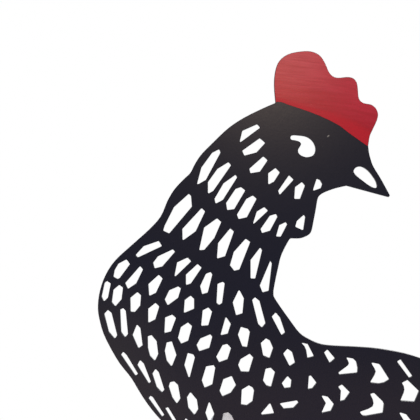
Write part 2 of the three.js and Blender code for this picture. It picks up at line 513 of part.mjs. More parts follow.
function henSheet() {
  const body = toSolid(upright(bodyShape(), SHEET_FRONT_Y, SHEET_THICKNESS, SMOOTH_STEPS));
  let solid = wasm.Manifold.difference([body, ...sheetCuts()]);
  for (const x of legMiddles()) {
    const leg = upright(legShape(x), SHEET_FRONT_Y, SHEET_THICKNESS, FILLET_STEPS);
    solid = solid.add(toSolid(leg.translate(0, 0, BASE_TOP_Z)));
  }
  for (const x of Object.values(STAY_SIDES)) {
    solid = solid.subtract(toSolid(holeAlongY(SHEET_FRONT_Y, SHEET_BACK_Y, x, STAY_SCREW_Z)));
  }
  return toGeometry(solid);
}

// The paint covers the comb down to the brushed line and stops just short of the cut edge.
function combPaint() {
  const edge = new THREE.SplineCurve(drawn(COMB_LINE)).getPoints(COMB_LINE.length * SMOOTH_STEPS);
  const inner = edge.map((point, i) => {
    const along = edge[Math.min(i + 1, edge.length - 1)].clone().sub(edge[Math.max(i - 1, 0)]).normalize();
    return point.clone().add(new THREE.Vector2(along.y, -along.x).multiplyScalar(PAINT_EDGE_MARGIN));
  });
  const shape = new THREE.Shape([...inner, ...drawn(PAINT_LINE)]);
  return upright(shape, SHEET_FRONT_Y - PAINT_THICKNESS, PAINT_THICKNESS, SMOOTH_STEPS);
}

function roundedRectangle(length, depth, radius) {
  const [x, y] = [length / 2 - radius, depth / 2 - radius];
  const shape = new THREE.Shape();
  shape.absarc(x, y, radius, 0, Math.PI / 2);
  shape.absarc(-x, y, radius, Math.PI / 2, Math.PI);
  shape.absarc(-x, -y, radius, Math.PI, Math.PI * 1.5);
  shape.absarc(x, -y, radius, Math.PI * 1.5, Math.PI * 2);
  return shape;
}

function tabSlot(x) {
  const slot = new THREE.BoxGeometry(
    TAB_WIDTH + TAB_CLEARANCE * 2, SHEET_THICKNESS + TAB_CLEARANCE * 2, BASE_THICKNESS + CUT_OVERRUN * 2,
  );
  return slot.translate(x, SHEET_MIDDLE_Y, BASE_THICKNESS / 2);
}

// Half outline of a flat-head screw or its hole as [radius, height], from the face the head is flush with.
function flatHeadProfile(shankRadius, headRadius, bottom, top) {
  const coneTop = FLAT_HEAD_RIM + headRadius - shankRadius;
  return vectors([
    [0, bottom], [headRadius, bottom], [headRadius, FLAT_HEAD_RIM],
    [shankRadius, coneTop], [shankRadius, top], [0, top],
  ]);
}

// A turned piece standing along Z.
function turned(profile) {
  return new THREE.LatheGeometry(profile, ROUND_STEPS).rotateX(Math.PI / 2);
}

function basePlate() {
  const shape = roundedRectangle(BASE_LENGTH, BASE_DEPTH, BASE_CORNER_RADIUS);
  let solid = toSolid(plate(shape, BASE_THICKNESS, FILLET_STEPS));
  for (const x of legMiddles()) solid = solid.subtract(toSolid(tabSlot(x)));
  const sinkRadius = FLAT_HEAD_RADIUS + SCREW_CLEARANCE;
  const cutTop = BASE_THICKNESS + CUT_OVERRUN;
  for (const x of Object.values(STAY_SIDES)) {
    const hole = turned(flatHeadProfile(SCREW_HOLE_RADIUS, sinkRadius, -CUT_OVERRUN, cutTop));
    solid = solid.subtract(toSolid(hole.translate(x, STAY_FOOT_SCREW_Y, 0)));
  }
  return toGeometry(solid).translate(0, 0, PAD_HEIGHT);
}

function rubberPad() {
  const round = PAD_EDGE_ROUND;
  return turned(vectors([
    [0, 0], [PAD_RADIUS - round, 0], [PAD_RADIUS - round * 0.3, round * 0.3], [PAD_RADIUS, round],
    [PAD_RADIUS, PAD_HEIGHT], [0, PAD_HEIGHT],
  ]));
}

// Both faces of a strap that follows a line with round bends, as one outline in Y and Z.
function strapOutline(line, thickness, bendRadius) {
  const left = [];
  const right = [];
  const place = (point, normal) => {
    left.push(point.clone().addScaledVector(normal, thickness / 2));
    right.push(point.clone().addScaledVector(normal, -thickness / 2));
  };
  const normalOf = (direction) => new THREE.Vector2(-direction.y, direction.x);
  for (let i = 0; i < line.length; i++) {
    const before = i > 0 ? line[i].clone().sub(line[i - 1]).normalize() : null;
    const after = i < line.length - 1 ? line[i + 1].clone().sub(line[i]).normalize() : null;
    if (!before || !after) {
      place(line[i], normalOf(before || after));
      continue;
    }
    const turn = Math.atan2(before.cross(after), before.dot(after));
    const reach = bendRadius * Math.tan(Math.abs(turn) / 2);
    const start = line[i].clone().addScaledVector(before, -reach);
    const centre = start.clone().addScaledVector(normalOf(before), Math.sign(turn) * bendRadius);
    for (let k = 0; k <= FILLET_STEPS; k++) {
      const angle = (turn * k) / FILLET_STEPS;
      const direction = before.clone().rotateAround(new THREE.Vector2(), angle);
      place(start.clone().rotateAround(centre, angle), normalOf(direction));
    }
  }
  return new THREE.Shape([...left, ...right.reverse()]);
}

// A stay: round-ended strap up the back of the sheet, bent back and down to a flat foot.
function stay(x) {
  const bendZ = STAY_SCREW_Z - STAY_BEND_DROP;
  const middleY = SHEET_BACK_Y + STAY_THICKNESS / 2;
  const footZ = BASE_TOP_Z + STAY_THICKNESS / 2;
  const line = [
    new THREE.Vector2(middleY, STAY_SCREW_Z), new THREE.Vector2(middleY, bendZ),
    new THREE.Vector2(STAY_FOOT_END_Y - STAY_FOOT_LENGTH, footZ), new THREE.Vector2(STAY_FOOT_END_Y, footZ),
  ];
  const leg = plate(strapOutline(line, STAY_THICKNESS, STAY_BEND_RADIUS), STAY_WIDTH, FILLET_STEPS);
  // The outline's Y and Z become the part's Y and Z, and its depth the strap's width along X.
  leg.applyMatrix4(new THREE.Matrix4().set(0, 0, 1, x - STAY_WIDTH / 2, 1, 0, 0, 0, 0, 1, 0, 0, 0, 0, 0, 1));
  const end = new THREE.Shape();
  end.moveTo(x - STAY_WIDTH / 2, STAY_SCREW_Z);
  end.lineTo(x + STAY_WIDTH / 2, STAY_SCREW_Z);
  end.absarc(x, STAY_SCREW_Z + STAY_END_RISE, STAY_WIDTH / 2, 0, Math.PI);
  const tongue = upright(end, SHEET_BACK_Y, STAY_THICKNESS, ROUND_STEPS / 2);
  const sheetHole = holeAlongY(SHEET_BACK_Y, STAY_BACK_Y, x, STAY_SCREW_Z);
  const footHole = screwHole(STAY_THICKNESS).rotateX(Math.PI / 2).translate(x, STAY_FOOT_SCREW_Y, footZ);
  const holes = toSolid(sheetHole).add(toSolid(footHole));
  return toGeometry(toSolid(leg).add(toSolid(tongue)).subtract(holes));
}

// The cutting shape of a screw's hexagon socket, along Y, half of it inside the head.
function hexSocket() {
  return new THREE.CylinderGeometry(SOCKET_RADIUS, SOCKET_RADIUS, SOCKET_DEPTH * 2, 6);
}

// Button-head screw along Y: the head stands in front of the sheet, the thread ends behind the nut.
function buttonScrew() {
  const headTop = SHEET_FRONT_Y - BUTTON_HEAD_HEIGHT;
  const end = STAY_BACK_Y + WASHER_THICKNESS + NUT_HEIGHT + SCREW_PAST_NUT;
  const profile = vectors([
    [0, headTop], [BUTTON_HEAD_RADIUS * 0.5, headTop],
    [BUTTON_HEAD_RADIUS * 0.85, headTop + BUTTON_HEAD_HEIGHT * 0.4],
    [BUTTON_HEAD_RADIUS, SHEET_FRONT_Y - BUTTON_HEAD_HEIGHT * 0.2], [BUTTON_HEAD_RADIUS, SHEET_FRONT_Y],
    [SCREW_RADIUS, SHEET_FRONT_Y], [SCREW_RADIUS, end], [0, end],
  ]);
  const body = new THREE.LatheGeometry(profile, ROUND_STEPS);
  return toGeometry(toSolid(body).subtract(toSolid(hexSocket().translate(0, headTop, 0))));
}

function flatScrew() {
  const end = BASE_THICKNESS + STAY_THICKNESS + WASHER_THICKNESS + NUT_HEIGHT + SCREW_PAST_NUT;
  const body = turned(flatHeadProfile(SCREW_RADIUS, FLAT_HEAD_RADIUS, 0, end));
  return toGeometry(toSolid(body).subtract(toSolid(hexSocket().rotateX(Math.PI / 2))));
}

// A flat ring, or a hexagon with a hole, along Z.
function holedDisc(outline, height) {
  const shape = new THREE.Shape(outline);
  shape.holes = [new THREE.Path().absarc(0, 0, SCREW_HOLE_RADIUS, 0, Math.PI * 2, true)];
  return plate(shape, height, ROUND_STEPS / 2);
}

function polygon(sides, radius) {
  const points = [];
  for (let i = 0; i < sides; i++) {
    const angle = (i * Math.PI * 2) / sides;
    points.push([radius * Math.cos(angle), radius * Math.sin(angle)]);
  }
  return vectors(points);
}

function washer() {
  return holedDisc(polygon(ROUND_STEPS, WASHER_RADIUS), WASHER_THICKNESS);
}

function nut() {
  return holedDisc(polygon(6, NUT_FLATS / Math.sqrt(3)), NUT_HEIGHT);
}

const ornament = new THREE.Group();

function addPiece(name, geometry, material, x = 0, y = 0, z = 0) {
  const mesh = new THREE.Mesh(geometry, material);
  mesh.name = name;
  mesh.position.set(x, y, z);
  ornament.add(mesh);
}

addPiece('hen_plate', henSheet(), blackCoat);
addPiece('comb_paint_front', combPaint(), redEnamel);
addPiece('base_plate', basePlate(), blackCoat);

for (const [side, x] of Object.entries(STAY_SIDES)) {
  const towardsBack = (geometry) => geometry.rotateX(-Math.PI / 2);
  addPiece(`${side}_stay`, stay(x), zincPlate);
  addPiece(`${side}_stay_screw`, buttonScrew(), blackSteel, x, 0, STAY_SCREW_Z);
  addPiece(`${side}_stay_washer`, towardsBack(washer()), zincPlate, x, STAY_BACK_Y, STAY_SCREW_Z);
  addPiece(`${side}_stay_nut`, towardsBack(nut()), zincPlate, x, STAY_NUT_Y, STAY_SCREW_Z);
  addPiece(`${side}_foot_screw`, flatScrew(), blackSteel, x, STAY_FOOT_SCREW_Y, PAD_HEIGHT);
  addPiece(`${side}_foot_washer`, washer(), zincPlate, x, STAY_FOOT_SCREW_Y, STAY_FOOT_TOP_Z);
  addPiece(`${side}_foot_nut`, nut(), zincPlate, x, STAY_FOOT_SCREW_Y, FOOT_NUT_Z);
}

for (const [end, y] of [['front', -PAD_Y], ['rear', PAD_Y]]) {
  for (const [side, x] of [['left', -PAD_X], ['right', PAD_X]]) {
    addPiece(`${end}_${side}_pad`, rubberPad(), rubber, x, y);
  }
}

export default ornament;
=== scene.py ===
"""Looks of the hen silhouette ornament: coated sheet, brushed comb, plated stays, floor, light and camera.

Metres, in the part's own frame: +Z up, and the hen's front face looks along -Y.
"""
import math

import bmesh
import bpy
from mathutils import Matrix, Vector


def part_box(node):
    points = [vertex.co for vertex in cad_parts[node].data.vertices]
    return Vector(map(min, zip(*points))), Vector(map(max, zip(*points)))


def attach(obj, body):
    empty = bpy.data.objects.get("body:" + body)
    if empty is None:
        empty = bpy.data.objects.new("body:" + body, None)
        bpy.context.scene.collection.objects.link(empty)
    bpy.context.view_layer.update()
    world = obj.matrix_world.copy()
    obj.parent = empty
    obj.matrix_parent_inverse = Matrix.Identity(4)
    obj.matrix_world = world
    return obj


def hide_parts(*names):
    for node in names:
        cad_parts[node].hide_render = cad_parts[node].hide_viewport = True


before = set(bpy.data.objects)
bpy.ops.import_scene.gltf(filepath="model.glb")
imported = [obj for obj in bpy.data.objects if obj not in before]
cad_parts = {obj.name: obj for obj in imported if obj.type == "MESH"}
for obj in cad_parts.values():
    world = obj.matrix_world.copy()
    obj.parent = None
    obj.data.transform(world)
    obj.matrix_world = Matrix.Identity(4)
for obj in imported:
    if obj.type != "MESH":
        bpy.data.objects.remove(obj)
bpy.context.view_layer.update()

MM = 0.001

# Camera: level, square to the sheet, at the height of the neck
PICTURE_CENTRE_X = -65 * MM
PICTURE_CENTRE_Z = 211.1 * MM
PICTURE_WIDTH = 209.6 * MM  # of the sheet's front face
CAMERA_DISTANCE = 350 * MM

# Cut sheet
CORNER_RADIUS = 0.5 * MM  # left by the cutting jet in each corner of a feather
CORNER_SHARE = 0.4  # most of a side that a corner's curve takes up
CORNER_STEPS = 3
SHARP_TURN = math.radians(24)
SHEET_EDGE = 0.18 * MM  # roundness of the coated edges
FLAT_NORMAL = 0.999  # least share of Y in the normal of the flat front and back
WALL_NORMAL = 0.1  # most share of Y in the normal of a cut's wall
SAME_POINT = 0.001 * MM

# Rounded edges of the other flat pieces
PLATE_EDGE = 0.5 * MM
STAY_EDGE = 0.35 * MM
PAINT_FILM_EDGE = 0.08 * MM
EDGE_STEPS = 2
ROUNDED_ANGLE = math.radians(40)  # least turn of an edge that is rounded

# Screws, washers, nuts and pads
ROUND_STEPS = 36
CURVE_STEPS = 6  # to a quarter turn of a rounded edge or dome
CREASE_ANGLE = math.radians(35)  # least turn of an edge that shows as a crease
SMALL_EDGE = 0.12 * MM
SCREW_RADIUS = 2 * MM
SCREW_CLEARANCE = 0.3 * MM
SCREW_END_RADIUS = 1.5 * MM
THREAD_PITCH = 0.7 * MM
THREAD_DEPTH = 0.4 * MM
THREAD_STEPS = 6  # to a pitch
THREAD_CREST = 0.125  # share of the pitch that the crest takes up
THREAD_FLANK = 0.625  # share of the pitch that both flanks take up
SOCKET_RADIUS = 1.45 * MM
SOCKET_DEPTH = 1.2 * MM
BUTTON_HEAD_HEIGHT = 2.2 * MM
BUTTON_HEAD_DOME = 0.8  # share of the head's height
FLAT_HEAD_RIM = 0.4 * MM
SIXTH_TURN = math.pi / 3
NUT_CHAMFER_SLOPE = math.tan(math.radians(30))
NUT_FACE = 0.95  # radius of the round face, as a share of the distance to a flat
PAD_ROUND = 0.8 * MM
PAD_GROOVE_DEPTH = 0.3 * MM
PAD_GROOVE_INNER = 2.8 * MM
PAD_GROOVE_OUTER = 4.4 * MM

# Red paint: its lower edge from the nape to the forehead, evenly spaced, as shares of the film's height,
# and the thick stroke along that edge, which widens towards the forehead
PAINT_EDGE_HEIGHTS = (0.47, 0.43, 0.385, 0.34, 0.295, 0.24, 0.175, 0.09, 0.0)
STROKE_WIDTH_AT_NAPE = 2.2 * MM
STROKE_WIDTH_AT_FOREHEAD = 4.6 * MM
STREAK_SLOPE = 0.3  # of the streaks, as a share of the lower edge's own slope
RIM_OVERRUN = 0.01  # of the painted rim past both ends of the film, as a share of the film's length

# Light and floor
FLOOR_RADIUS = 320 * MM
FLOOR_STEPS = 96
# Painted light: the floor's glow for seen and mirrored rays, weaker under the object as painted shade
FLOOR_GLOW = (0.22, 0.55)  # under the object and at the floor's edge
WORLD_LIGHT = 0.6
WORLD_COLOUR = (0.95, 1.0, 1.06)
KEY_SIZE = (150 * MM, 150 * MM)
KEY_POWER = 3.65
KEY_COLOUR = (1.0, 0.775, 0.585)
KEY_PLACE = Vector((45, -965, 509)) * MM
KEY_AIM = Vector((-20, -20, 190)) * MM
LEFT_CARD_SIZE = (220 * MM, 220 * MM)
LEFT_CARD_POWER = 0.42
LEFT_CARD_COLOUR = (1.0, 0.75, 0.5)
LEFT_CARD_PLACE = Vector((-170, -140, 35)) * MM
LEFT_CARD_AIM = Vector((-80, -21, 120)) * MM
FRONT_CARD_SIZE = (300 * MM, 60 * MM)
FRONT_CARD_POWER = 0.13
FRONT_CARD_COLOUR = (1.0, 0.62, 0.47)
FRONT_CARD_PLACE = Vector((50, -320, 25)) * MM
FRONT_CARD_AIM = Vector((10, -21, 110)) * MM
BACK_PANEL_SIZE = (400 * MM, 400 * MM)
BACK_PANEL_POWER = 5.0
BACK_PANEL_COLOUR = (1.0, 0.98, 0.96)
BACK_PANEL_PLACE = Vector((520, 820, 720)) * MM
BACK_PANEL_AIM = Vector((0, 0, 90)) * MM

# Small flaws that the front face shows
COAT_NICK = Vector((-6, -21, 248)) * MM
COAT_NICK_TURN = math.radians(40)
COAT_NICK_SIZE = (0.9 * MM, 0.4 * MM)


def add(tree, kind, inputs=None, **settings):
    """A shader node of this kind, with its settings, its inputs set and its links made."""
    made = tree.nodes.new("ShaderNode" + kind)
    for key, value in settings.items():
        setattr(made, key, value)
    for key, value in (inputs or {}).items():
        if isinstance(value, bpy.types.NodeSocket):
            tree.links.new(value, made.inputs[key])
        else:
            made.inputs[key].default_value = value
    return made


def new_material(name):
    """An empty material, its node tree and its main shader."""
    material = bpy.data.materials.new(name)
    material.use_nodes = True
    return material, material.node_tree, material.node_tree.nodes["Principled BSDF"]


def place(tree):
    """The point on the part, in its own frame."""
    return add(tree, "TexCoord").outputs["Object"]


def noise(tree, where, grain, detail=2.0, stretch=(1, 1, 1)):
    """Noise with spots about one grain across, drawn out by stretch along X, Y and Z."""
    mapping = add(tree, "Mapping", {"Vector": where, "Scale": [1 / share for share in stretch]})
    made = add(tree, "TexNoise", {"Vector": mapping.outputs[0], "Scale": 1 / grain, "Detail": detail})
    return made.outputs["Fac"]


def ramp(tree, value, low, high, start=0.0, end=1.0):
    """Maps a value between start and end to a number between low and high."""
    made = add(tree, "MapRange", {0: value, 1: start, 2: end, 3: low, 4: high}, clamp=True)
    return made.outputs[0]


def blend(tree, share, first, second):
    """A colour between two colours or colour sockets."""
    made = add(tree, "Mix", data_type="RGBA")
    for socket, value in ((made.inputs[0], share), (made.inputs[6], first), (made.inputs[7], second)):
        if isinstance(value, bpy.types.NodeSocket):
            tree.links.new(value, socket)
        else:
            socket.default_value = (*value, 1) if isinstance(value, tuple) else value
    return made.outputs[2]


def maths(tree, operation, first, second=0.0):
    """The result of a sum with one or two numbers or number sockets."""
    return add(tree, "Math", {0: first, 1: second}, operation=operation).outputs[0]


def bump(tree, height, depth, strength):
    """A surface that rises by up to this depth where height is 1."""
    return add(tree, "Bump", {"Height": height, "Distance": depth, "Strength": strength}).outputs[0]


def specks(tree, where, spacing, radius, share):
    """1 inside a few round specks: this share of the cells of a loose grid has one."""
    cells = add(tree, "TexVoronoi", {"Vector": where, "Scale": 1 / spacing})
    near = maths(tree, "LESS_THAN", cells.outputs["Distance"], radius / spacing)
    pick = add(tree, "SeparateColor", {0: cells.outputs["Color"]}).outputs[0]
    return maths(tree, "MULTIPLY", near, maths(tree, "LESS_THAN", pick, share))


def patch(tree, where, centre, turn, size):
    """1 inside an oval on the front face, turned about Y."""
    moved = add(tree, "VectorMath", {0: where, 1: centre}, operation="SUBTRACT").outputs[0]
    turned = add(tree, "VectorRotate", {"Vector": moved, "Angle": turn}, rotation_type="Y_AXIS").outputs[0]
    shrink = (1 / size[0], 0, 1 / size[1])
    scaled = add(tree, "VectorMath", {0: turned, 1: shrink}, operation="MULTIPLY").outputs[0]
    far = add(tree, "VectorMath", {0: scaled}, operation="LENGTH").outputs["Value"]
    return ramp(tree, far, 1.0, 0.0, 0.5, 1.0)


def black_coat(name, smooth, dull, peel_strength):
    """Blue-black coat, a little brown in places, with orange peel, dust and a nick in the hen's front."""
    material, tree, shader = new_material(name)
    where = place(tree)
    tone = blend(tree, noise(tree, where, 70 * MM), (0.0022, 0.0033, 0.0132), (0.0052, 0.0054, 0.0124))
    dust = specks(tree, where, 4.5 * MM, 0.16 * MM, 0.12)
    tone = blend(tree, maths(tree, "MULTIPLY", dust, 0.3), tone, (0.12, 0.115, 0.11))
    nick = patch(tree, where, COAT_NICK, COAT_NICK_TURN, COAT_NICK_SIZE)
    tone = blend(tree, maths(tree, "MULTIPLY", nick, 0.8), tone, (0.2, 0.2, 0.2))
    tree.links.new(tone, shader.inputs["Base Color"])
    rough = ramp(tree, noise(tree, where, 3 * MM, 4.0), smooth, dull)
    tree.links.new(rough, shader.inputs["Roughness"])
    peel = bump(tree, noise(tree, where, 1.3 * MM), 0.05 * MM, peel_strength)
    tree.links.new(peel, shader.inputs["Normal"])
    shader.inputs["Specular IOR Level"].default_value = 0.1
    return material


def cut_wall():
    """The same coat where it ran thin and smooth over the cut walls, so that they mirror at a low angle."""
    material, tree, shader = new_material("cut_wall")
    where = place(tree)
    drag_lines = noise(tree, where, 0.25 * MM, 2.0, (1, 20, 1))
    tone = blend(tree, drag_lines, (0.0085, 0.0085, 0.0125), (0.014, 0.014, 0.018))
    tree.links.new(tone, shader.inputs["Base Color"])
    tree.links.new(ramp(tree, drag_lines, 0.1, 0.2), shader.inputs["Roughness"])
    return material


def red_enamel():
    """Red enamel put on with a brush, with painted sheen that makes it lighter towards the top and painted
    shade that makes it darker towards the forehead, and with one thick, matter stroke along its lower edge.
    """
    material, tree, shader = new_material("red_enamel")
    where = place(tree)
    low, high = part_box("comb_paint_front")
    axes = add(tree, "SeparateXYZ", {0: where}).outputs
    edge_z = paint_edge(tree, axes[0], low, high)
    height = maths(tree, "SUBTRACT", axes[2], edge_z)
    across = maths(tree, "SUBTRACT", axes[2], maths(tree, "MULTIPLY", edge_z, STREAK_SLOPE))
    brushed = add(tree, "CombineXYZ", {0: axes[0], 1: axes[1], 2: across}).outputs[0]
    streaks = noise(tree, brushed, 0.8 * MM, 3.0, (14, 1, 1))
    wide_streaks = noise(tree, brushed, 2.6 * MM, 2.0, (10, 1, 1))
    # Painted sheen: lighter, pinker paint towards the top, where the key lamp's highlight falls, mixed with
    # wide brush streaks
    painted_sheen_and_streaks = maths(tree, "ADD", ramp(tree, height, 0.0, 1.0, 2 * MM, 26 * MM),
                    ramp(tree, wide_streaks, -0.3, 0.3, 0.3, 0.7))
    to_forehead = ramp(tree, axes[0], 0.0, 1.0, low.x, high.x)
    # Painted shade: darker paint towards the forehead, away from the key lamp's highlight
    tone = blend(tree, to_forehead, (0.324, 0.001, 0.0125), (0.264, 0.0048, 0.0162))
    tone = blend(tree, painted_sheen_and_streaks, tone, (0.36, 0.0145, 0.0375))
    tone = blend(tree, ramp(tree, streaks, 0.0, 0.5, 0.45, 0.75), tone, (0.245, 0.005, 0.016))
    stroke_width = ramp(tree, to_forehead, STROKE_WIDTH_AT_NAPE, STROKE_WIDTH_AT_FOREHEAD)
    share_of_stroke = maths(tree, "DIVIDE", height, stroke_width)
    ragged = maths(tree, "ADD", share_of_stroke, ramp(tree, streaks, -0.4, 0.4))
    stroke = ramp(tree, ragged, 0.85, 0.0, 0.6, 1.3)
    tone = blend(tree, stroke, tone, (0.34, 0.0026, 0.0148))
    dust = specks(tree, where, 5 * MM, 0.2 * MM, 0.16)
    tone = blend(tree, maths(tree, "MULTIPLY", dust, 0.4), tone, (0.62, 0.28, 0.28))
    tree.links.new(tone, shader.inputs["Base Color"])
    rough = maths(tree, "ADD", ramp(tree, streaks, 0.24, 0.32), maths(tree, "MULTIPLY", stroke, 0.07))
    tree.links.new(rough, shader.inputs["Roughness"])
    ridges = bump(tree, streaks, 0.05 * MM, 0.3)
    tree.links.new(ridges, shader.inputs["Normal"])
    shader.inputs["Specular IOR Level"].default_value = 0.1
    return material


def thin_and_shaded_rim_red():
    """Red enamel where it ran thin over the sheet's rim, and the black shows through it, made darker still
    by painted shade on the turned rim.
    """
    material, tree, shader = new_material("thin_and_shaded_rim_red")
    thin = noise(tree, place(tree), 2 * MM, 3.0)
    # Dark red: partly thin paint over black, partly painted shade where the rim turns away from the light
    tone = blend(tree, thin, (0.09, 0.0025, 0.007), (0.16, 0.004, 0.011))
    tree.links.new(tone, shader.inputs["Base Color"])
    tree.links.new(ramp(tree, thin, 0.34, 0.26), shader.inputs["Roughness"])
    shader.inputs["Specular IOR Level"].default_value = 0.1
    return material


def paint_edge(tree, x, low, high):
    """Height of the red paint's lower edge at this place along X, which falls off towards the forehead."""
    along = ramp(tree, x, 0.0, 1.0, low.x, high.x)
    edge = add(tree, "FloatCurve", {"Value": along})
    points = edge.mapping.curves[0].points
    points[0].location = (0.0, PAINT_EDGE_HEIGHTS[0])
    points[1].location = (1.0, PAINT_EDGE_HEIGHTS[-1])
    for i, height in enumerate(PAINT_EDGE_HEIGHTS[1:-1], 1):
        points.new(i / (len(PAINT_EDGE_HEIGHTS) - 1), height)
    edge.mapping.update()
    return ramp(tree, edge.outputs[0], low.z, high.z)


def zinc_plate(name, dark, light, smooth, dull):
    """Zinc plating with a faint spangle and fine rolling marks."""
    material, tree, shader = new_material(name)
    where = place(tree)
    spangle = ramp(tree, noise(tree, where, 3.5 * MM, 3.0), 0.0, 1.0, 0.3, 0.7)
    rolled = noise(tree, where, 0.4 * MM, 3.0, (1, 14, 14))
    tone = blend(tree, spangle, dark, light)
    tone = blend(tree, ramp(tree, rolled, 0.0, 0.4, 0.5, 0.8), tone, dark)
    tree.links.new(tone, shader.inputs["Base Color"])
    tree.links.new(ramp(tree, spangle, smooth, dull), shader.inputs["Roughness"])
    tree.links.new(bump(tree, rolled, 0.03 * MM, 0.4), shader.inputs["Normal"])
    shader.inputs["Metallic"].default_value = 0.9
    return material


def black_steel():
    """Black oxide screws, a little polished where a key has turned in them."""
    material, tree, shader = new_material("black_steel")
    where = place(tree)
    worn = noise(tree, where, 1.2 * MM, 4.0)
    tone = blend(tree, ramp(tree, worn, 0.0, 1.0, 0.5, 0.8), (0.018, 0.018, 0.021), (0.045, 0.044, 0.044))
    tree.links.new(tone, shader.inputs["Base Color"])
    tree.links.new(ramp(tree, worn, 0.48, 0.3), shader.inputs["Roughness"])
    tree.links.new(bump(tree, noise(tree, where, 0.25 * MM), 0.02 * MM, 0.4), shader.inputs["Normal"])
    shader.inputs["Metallic"].default_value = 0.85
    return material


def pad_rubber():
    """Matt moulded rubber with a fine grain and some dust."""
    material, tree, shader = new_material("pad_rubber")
    where = place(tree)
    grain = noise(tree, where, 0.35 * MM, 3.0)
    tone = blend(tree, noise(tree, where, 4 * MM), (0.010, 0.010, 0.011), (0.022, 0.021, 0.020))
    tree.links.new(tone, shader.inputs["Base Color"])
    tree.links.new(ramp(tree, grain, 0.72, 0.9), shader.inputs["Roughness"])
    tree.links.new(bump(tree, grain, 0.05 * MM, 0.6), shader.inputs["Normal"])
    return material


def front_loops(node):
    """The outline and the cuts of a sheet's front face, as loops of points in X and Z."""
    mesh = bmesh.new()
    mesh.from_mesh(node.data)
    bmesh.ops.remove_doubles(mesh, verts=mesh.verts, dist=SAME_POINT)
    fronts = [face for face in mesh.faces if face.normal.y < -FLAT_NORMAL]
    following = {}
    for face in fronts:
        for side in face.loops:
            if side.link_loop_radial_next.face.normal.y >= -FLAT_NORMAL:
                following[side.vert] = side.link_loop_next.vert
    loops = []
    while following:
        start, corner = following.popitem()
        loop = [Vector((start.co.x, start.co.z))]
        while corner is not start:
            loop.append(Vector((corner.co.x, corner.co.z)))
            corner = following.pop(corner)
        loops.append(loop)
    mesh.free()
    return loops


def with_round_corners(loop):
    """The loop with a small curve in place of each sharp corner."""
    smooth = []
    for i, corner in enumerate(loop):
        before = loop[i - 1] - corner
        after = loop[(i + 1) % len(loop)] - corner
        turn = math.pi - before.angle(after)
        if turn < SHARP_TURN:
            smooth.append(corner)
            continue
        reach = min(CORNER_RADIUS * math.tan(turn / 2), CORNER_SHARE * min(before.length, after.length))
        start = corner + before.normalized() * reach
        end = corner + after.normalized() * reach
        for k in range(CORNER_STEPS + 1):
            t = k / CORNER_STEPS
            smooth.append(start * (1 - t) ** 2 + corner * 2 * t * (1 - t) + end * t ** 2)
    return smooth


def cut_sheet(name, loops, low, high):
    """A flat sheet between two heights of Y, with these loops cut through it and its edges rounded."""
    curve = bpy.data.curves.new(name, "CURVE")
    curve.dimensions = "2D"
    curve.fill_mode = "BOTH"
    curve.extrude = (high.y - low.y) / 2 - SHEET_EDGE
    curve.bevel_depth = SHEET_EDGE
    curve.bevel_resolution = 1
    curve.offset = -SHEET_EDGE
    for loop in loops:
        spline = curve.splines.new("POLY")
        spline.points.add(len(loop) - 1)
        for point, at in zip(spline.points, loop):
            point.co = (at.x, at.y, 0, 1)
        spline.use_cyclic_u = True
    drawing = bpy.data.objects.new(name + "_drawing", curve)
    mesh = bpy.data.meshes.new_from_object(drawing)
    bpy.data.objects.remove(drawing)
    bpy.data.curves.remove(curve)
    middle = Matrix.Translation((0, (low.y + high.y) / 2, 0))
    mesh.transform(middle @ Matrix.Rotation(math.pi / 2, 4, "X"))
    for face in mesh.polygons:
        face.use_smooth = abs(face.normal.y) < FLAT_NORMAL
        face.material_index = 1 if abs(face.normal.y) < WALL_NORMAL else 0
    return add_piece(name, mesh)


def add_piece(name, mesh):
    """A new object in the scene."""
    piece = bpy.data.objects.new(name, mesh)
    bpy.context.scene.collection.objects.link(piece)
    return piece


def dress(piece, *materials):
    """Gives a piece these materials in place of any others."""
    piece.data.materials.clear()
    for material in materials:
        piece.data.materials.append(material)


def soften(piece, edge):
    """Rounds a piece's edges, and shades its round faces smooth."""
    rounding = piece.modifiers.new("edges", "BEVEL")
    rounding.width = edge
    rounding.segments = EDGE_STEPS
    rounding.limit_method = "ANGLE"
    rounding.angle_limit = ROUNDED_ANGLE
    rounding.harden_normals = True
    piece.data.shade_smooth()


def stand_for(piece, node, *materials):
    """Dresses a piece and puts it in the place of a plain node."""
    dress(piece, *materials)
    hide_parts(node)
    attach(piece, "root")


def paint_comb_rim(hen):
    """Puts the third material on the front rim of the sheet, over the line from the nape to the forehead."""
    low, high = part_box("comb_paint_front")
    nape_height = PAINT_EDGE_HEIGHTS[0] * (high.z - low.z)
    for face in hen.data.polygons:
        along = (face.center.x - low.x) / (high.x - low.x)
        over_film = -RIM_OVERRUN < along < 1 + RIM_OVERRUN
        over_line = face.center.z > low.z + nape_height * (1 - along)
        if -FLAT_NORMAL < face.normal.y < -WALL_NORMAL and over_film and over_line:
            face.material_index = 2


def make_hen():
    """The hen's sheet with rounded corners and edges, in place of the plain one."""
    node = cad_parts["hen_plate"]
    loops = [with_round_corners(loop) for loop in front_loops(node)]
    hen = cut_sheet("hen_sheet", loops, *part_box("hen_plate"))
    stand_for(hen, "hen_plate", black_coat("black_coat", 0.24, 0.32, 0.2), cut_wall(), thin_and_shaded_rim_red())
    paint_comb_rim(hen)


def at_angle(value, angle):
    """A size that is the same all round, or one that depends on the angle."""
    return value(angle) if callable(value) else value


def ring(radius, height):
    """Points round the Z axis."""
    points = []
    for i in range(ROUND_STEPS):
        angle = 2 * math.pi * i / ROUND_STEPS
        reach = at_angle(radius, angle)
        points.append((reach * math.cos(angle), reach * math.sin(angle), at_angle(height, angle)))
    return points


def quarter_round(radius, width, height):
    """Rings of a rounded edge that rises from height 0 and ends upright at this radius."""
    turns = [math.pi / 2 * i / CURVE_STEPS for i in range(CURVE_STEPS + 1)]
    return [ring(radius - width * (1 - math.sin(turn)), height * (1 - math.cos(turn))) for turn in turns]


